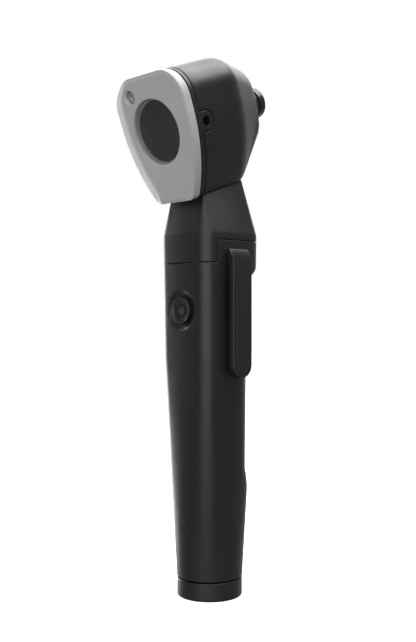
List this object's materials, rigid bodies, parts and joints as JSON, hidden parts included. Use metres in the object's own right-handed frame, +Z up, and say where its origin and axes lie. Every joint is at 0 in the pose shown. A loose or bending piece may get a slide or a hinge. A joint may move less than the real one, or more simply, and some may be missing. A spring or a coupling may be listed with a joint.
{
  "type": "otoscope",
  "caption": "Pocket otoscope with a swivelling magnifier, an air port, an ear-tip seat, a push button, a pocket clip and a screw cap on a rounded-square battery handle.",
  "frame": {"origin": "centre of the end cap's flat bottom, on the handle's axis", "axes": "+Z up the handle, +Y towards the ear-tip side, -Y towards the user, the window and the button, +X towards the clip and the air port"},
  "size_m": [0.034, 0.0526, 0.1791],
  "materials": {
    "casing": "satin black, fine moulded grain",
    "button": "satin black",
    "carrier": "satin silver grey",
    "lens": "clear, polished",
    "screw_steel": "zinc plated",
    "steel": "turned",
    "brass": "turned",
    "dark_plastic": "matte black",
    "seal_rubber": "matte black",
    "seat": "satin black",
    "fibre": "ground fibre ends",
    "aluminium": "satin",
    "board": "green solder mask",
    "led": "pale yellow phosphor",
    "cell": "plain label wrap",
    "spring": "plated wire"
  },
  "bodies": {
    "handle": {"handle_shell": "casing", "battery_tube": "aluminium", "lower_battery": "cell", "upper_battery": "cell", "socket_ring": "steel", "contact_insulator": "dark_plastic", "battery_contact": "brass", "lamp_contact": "brass", "switch_board": "board", "tact_switch": "dark_plastic"},
    "button": {"power_button": "button"},
    "clip": {"pocket_clip": "casing"},
    "cap_carrier": {"cap_o_ring": "seal_rubber", "battery_spring": "spring"},
    "cap": {"end_cap": "casing", "cap_contact": "brass"},
    "head": {"head_housing": "casing", "rear_frame": "casing", "frame_screws": "screw_steel", "pivot_screw": "screw_steel", "friction_washer": "dark_plastic", "window_seal": "seal_rubber", "viewing_tunnel": "dark_plastic", "port_tube": "dark_plastic", "speculum_seat": "seat", "light_guide": "fibre", "heat_sink": "aluminium", "led_board": "board", "led_emitter": "led", "plug_sleeve": "steel", "plug_insulator": "dark_plastic", "plug_pin": "brass"},
    "lens": {"lens_carrier": "carrier", "pivot_bush": "brass", "magnifier_lens": "lens", "lens_ring": "carrier"}
  },
  "joints": [
    {"name": "button_press", "type": "slide", "parent": "handle", "child": "button", "axis": [0, 1, 0], "range_m": [0, 0.0005], "stiffness_N_per_m": 1500, "springref_m": -0.0005},
    {"name": "clip_flex", "type": "hinge", "parent": "handle", "child": "clip", "pos_m": [0.0111, 0, 0.113], "axis": [0, -1, 0], "range_deg": [0, 5], "stiffness_Nm_per_rad": 2, "springref_deg": -1.15},
    {"name": "cap_travel", "type": "slide", "parent": "handle", "child": "cap_carrier", "axis": [0, 0, -1], "range_m": [0, 0.0056]},
    {"name": "cap_turn", "type": "hinge", "parent": "cap_carrier", "child": "cap", "pos_m": [0, 0, 0], "axis": [0, 0, 1], "range_deg": [0, 1980]},
    {"name": "head_release", "type": "slide", "parent": "handle", "child": "head", "axis": [0, 0, 1], "range_m": [0, 0.012]},
    {"name": "lens_swivel", "type": "hinge", "parent": "head", "child": "lens", "pos_m": [-0.0085, -0.02761, 0.16524], "axis": [0, -0.9397, -0.342], "range_deg": [0, 150]}
  ],
  "couplings": [
    {"joint": "cap_travel", "follows": "cap_turn", "m_per_rad": 0.00015915}
  ]
}
